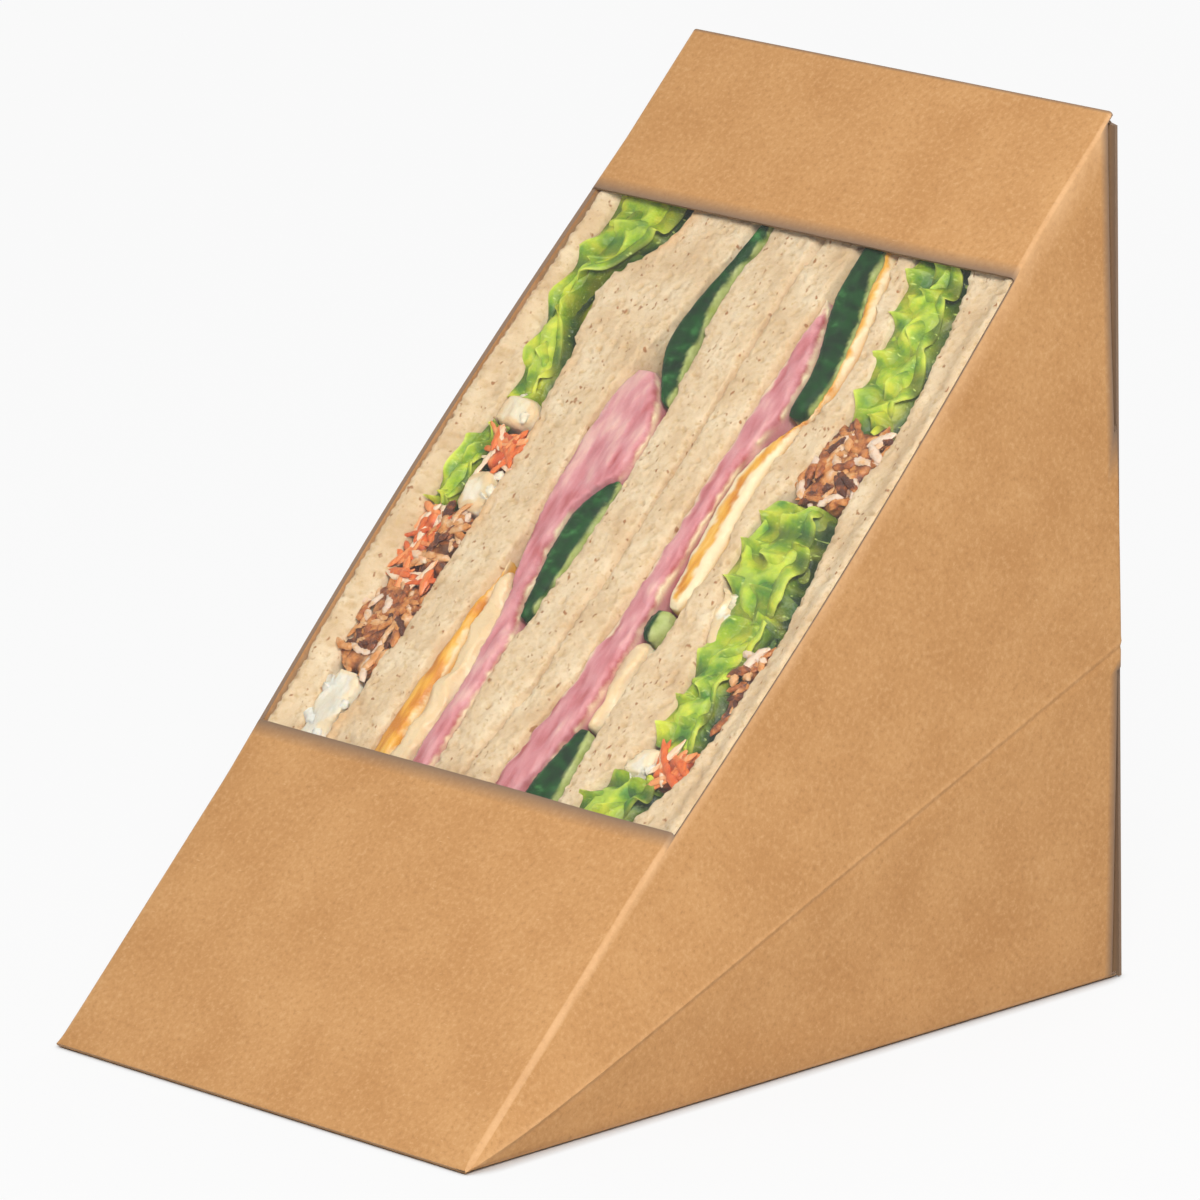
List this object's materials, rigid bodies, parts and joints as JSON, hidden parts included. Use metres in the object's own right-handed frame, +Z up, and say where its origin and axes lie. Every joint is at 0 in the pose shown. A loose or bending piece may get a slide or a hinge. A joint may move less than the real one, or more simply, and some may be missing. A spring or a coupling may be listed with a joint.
{
  "type": "sandwich wedge pack",
  "caption": "Triangular kraft board sandwich carton with a full-width film window in its sloping front, a hinged rear lid and stacked, filled sandwich halves inside.",
  "frame": {"origin": "middle of the box round the closed pack, on the surface it stands on", "axes": "+X across the pack to the right of someone facing the window, +Y back towards the rear lid, +Z up"},
  "size_m": [0.086, 0.1246, 0.123],
  "materials": {
    "kraft_board": "uncoated brown kraft board, finely mottled and fibrous, paler along its folds, darker cut edges",
    "clear_film": "clear glossy cellulose film",
    "bread": "soft malted white crumb with fine pores and brown grain flecks, thin brown crust",
    "lettuce": "frilled moist leaf, yellow-green ribs to mid green edges",
    "ham": "moist pale pink sliced ham, faintly marbled",
    "cheese": "smooth satin orange-yellow cheese",
    "cucumber": "dark green waxy skin, pale watery flesh",
    "carrot": "moist orange-red vegetable strips",
    "chicken": "torn brown roast meat with pale and pink patches",
    "mayonnaise": "glossy off-white dressing",
    "egg": "soft white egg pieces"
  },
  "bodies": {
    "pack": {"bread_slice_left_inner": "bread", "bread_slice_left_middle": "bread", "bread_slice_left_outer": "bread", "bread_slice_right_inner": "bread", "bread_slice_right_middle": "bread", "bread_slice_right_outer": "bread", "carrot_left_lower": "carrot", "carrot_left_middle": "carrot", "carrot_left_upper": "carrot", "carrot_right": "carrot", "carton": "kraft_board", "cheese_left": "cheese", "cheese_right": "cheese", "chicken_left_lower": "chicken", "chicken_left_upper": "chicken", "chicken_right_lower": "chicken", "chicken_right_upper": "chicken", "cucumber_left_lower": "cucumber", "cucumber_left_upper": "cucumber", "cucumber_right_lower": "cucumber", "cucumber_right_middle": "cucumber", "cucumber_right_upper": "cucumber", "egg_left": "egg", "egg_right": "egg", "ham_left": "ham", "ham_right": "ham", "lettuce_left_lower": "lettuce", "lettuce_left_middle": "lettuce", "lettuce_left_upper": "lettuce", "lettuce_right_bottom": "lettuce", "lettuce_right_lower": "lettuce", "lettuce_right_middle": "lettuce", "lettuce_right_upper": "lettuce", "mayonnaise_left_lower": "mayonnaise", "mayonnaise_left_middle": "mayonnaise", "mayonnaise_left_upper": "mayonnaise", "mayonnaise_right": "mayonnaise", "mayonnaise_right_middle": "mayonnaise", "window_film": "clear_film"},
    "lid": {"rear_lid": "kraft_board"}
  },
  "joints": [
    {"name": "lid_hinge", "type": "hinge", "parent": "pack", "child": "lid", "pos_m": [0, 0.0623, 0], "axis": [-1, 0, 0], "range_deg": [0, 90]}
  ]
}
